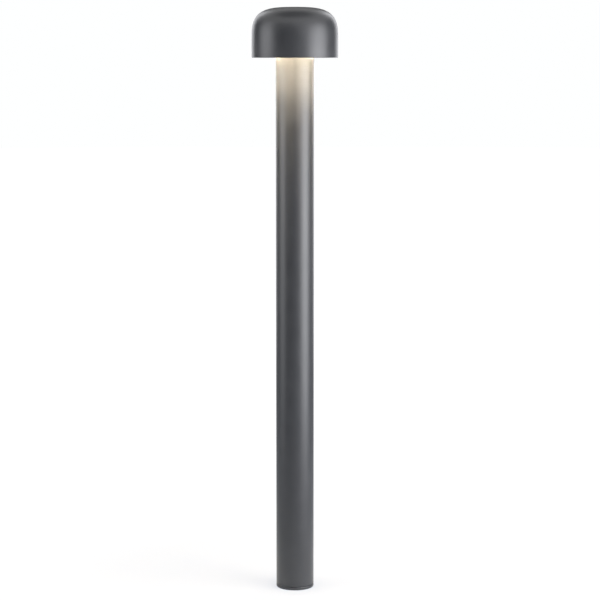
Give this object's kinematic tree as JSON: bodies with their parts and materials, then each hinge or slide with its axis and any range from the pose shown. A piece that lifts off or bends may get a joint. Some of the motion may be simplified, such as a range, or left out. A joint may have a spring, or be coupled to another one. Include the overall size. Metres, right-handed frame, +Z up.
{
  "type": "bollard light",
  "caption": "Slim round garden bollard light: a straight tube on a flush foot, under a wider domed cap that throws warm light down the tube through an opal ring.",
  "frame": {"origin": "centre of the foot's underside, at ground level", "axes": "+Z up along the tube's axis; -Y is the front, and the two screws that lock the tube are at the back, towards +Y"},
  "size_m": [0.124, 0.124, 0.85],
  "materials": {
    "powder_coat": "fine satin powder coat, anthracite grey",
    "opal_diffuser": "satin opal polycarbonate, lit warm white from behind",
    "silicone": "matte moulded silicone",
    "white_plastic": "high-reflectance white moulding",
    "board_mask": "white solder mask on an aluminium board",
    "led_phosphor": "yellow phosphor under clear silicone",
    "aluminium": "bare cast, machined or extruded aluminium",
    "stainless": "satin stainless steel",
    "zinc_steel": "bright zinc plate on sheet steel",
    "black_nylon": "fine-grained black nylon",
    "lead_sheath": "smooth black cable sheath",
    "earth_sheath": "green and yellow earth wire"
  },
  "bodies": {
    "root": {"head_shell": "powder_coat", "bezel_ring": "powder_coat", "pole_tube": "powder_coat", "base_casting": "powder_coat", "diffuser": "opal_diffuser", "diffuser_gasket": "silicone", "neck_seal": "silicone", "hub_seal": "silicone", "lead_grommet": "silicone", "reflector": "white_plastic", "board_connector": "white_plastic", "led_board": "board_mask", "led_1": "led_phosphor", "led_2": "led_phosphor", "led_3": "led_phosphor", "led_4": "led_phosphor", "led_5": "led_phosphor", "led_6": "led_phosphor", "led_7": "led_phosphor", "led_8": "led_phosphor", "led_9": "led_phosphor", "heat_spreader": "aluminium", "pole_hub": "aluminium", "driver_case": "aluminium", "bezel_screw_1": "stainless", "bezel_screw_2": "stainless", "bezel_screw_3": "stainless", "board_screw_1": "stainless", "board_screw_2": "stainless", "board_screw_3": "stainless", "shell_screw_1": "stainless", "shell_screw_2": "stainless", "shell_screw_3": "stainless", "spreader_screw_1": "stainless", "spreader_screw_2": "stainless", "spreader_screw_3": "stainless", "hub_screw_1": "stainless", "hub_screw_2": "stainless", "hub_screw_3": "stainless", "pole_lock_screw_1": "stainless", "pole_lock_screw_2": "stainless", "tray_screw_1": "stainless", "tray_screw_2": "stainless", "driver_screw_1": "stainless", "driver_screw_2": "stainless", "clip_screw": "stainless", "earth_screw": "stainless", "gear_tray": "zinc_steel", "junction_clip": "zinc_steel", "earth_lug": "zinc_steel", "driver_cap_lower": "black_nylon", "driver_cap_upper": "black_nylon", "junction_body": "black_nylon", "junction_gland": "black_nylon", "junction_cap": "black_nylon", "led_lead": "lead_sheath", "driver_lead": "lead_sheath", "earth_wire": "earth_sheath"}
  },
  "joints": []
}
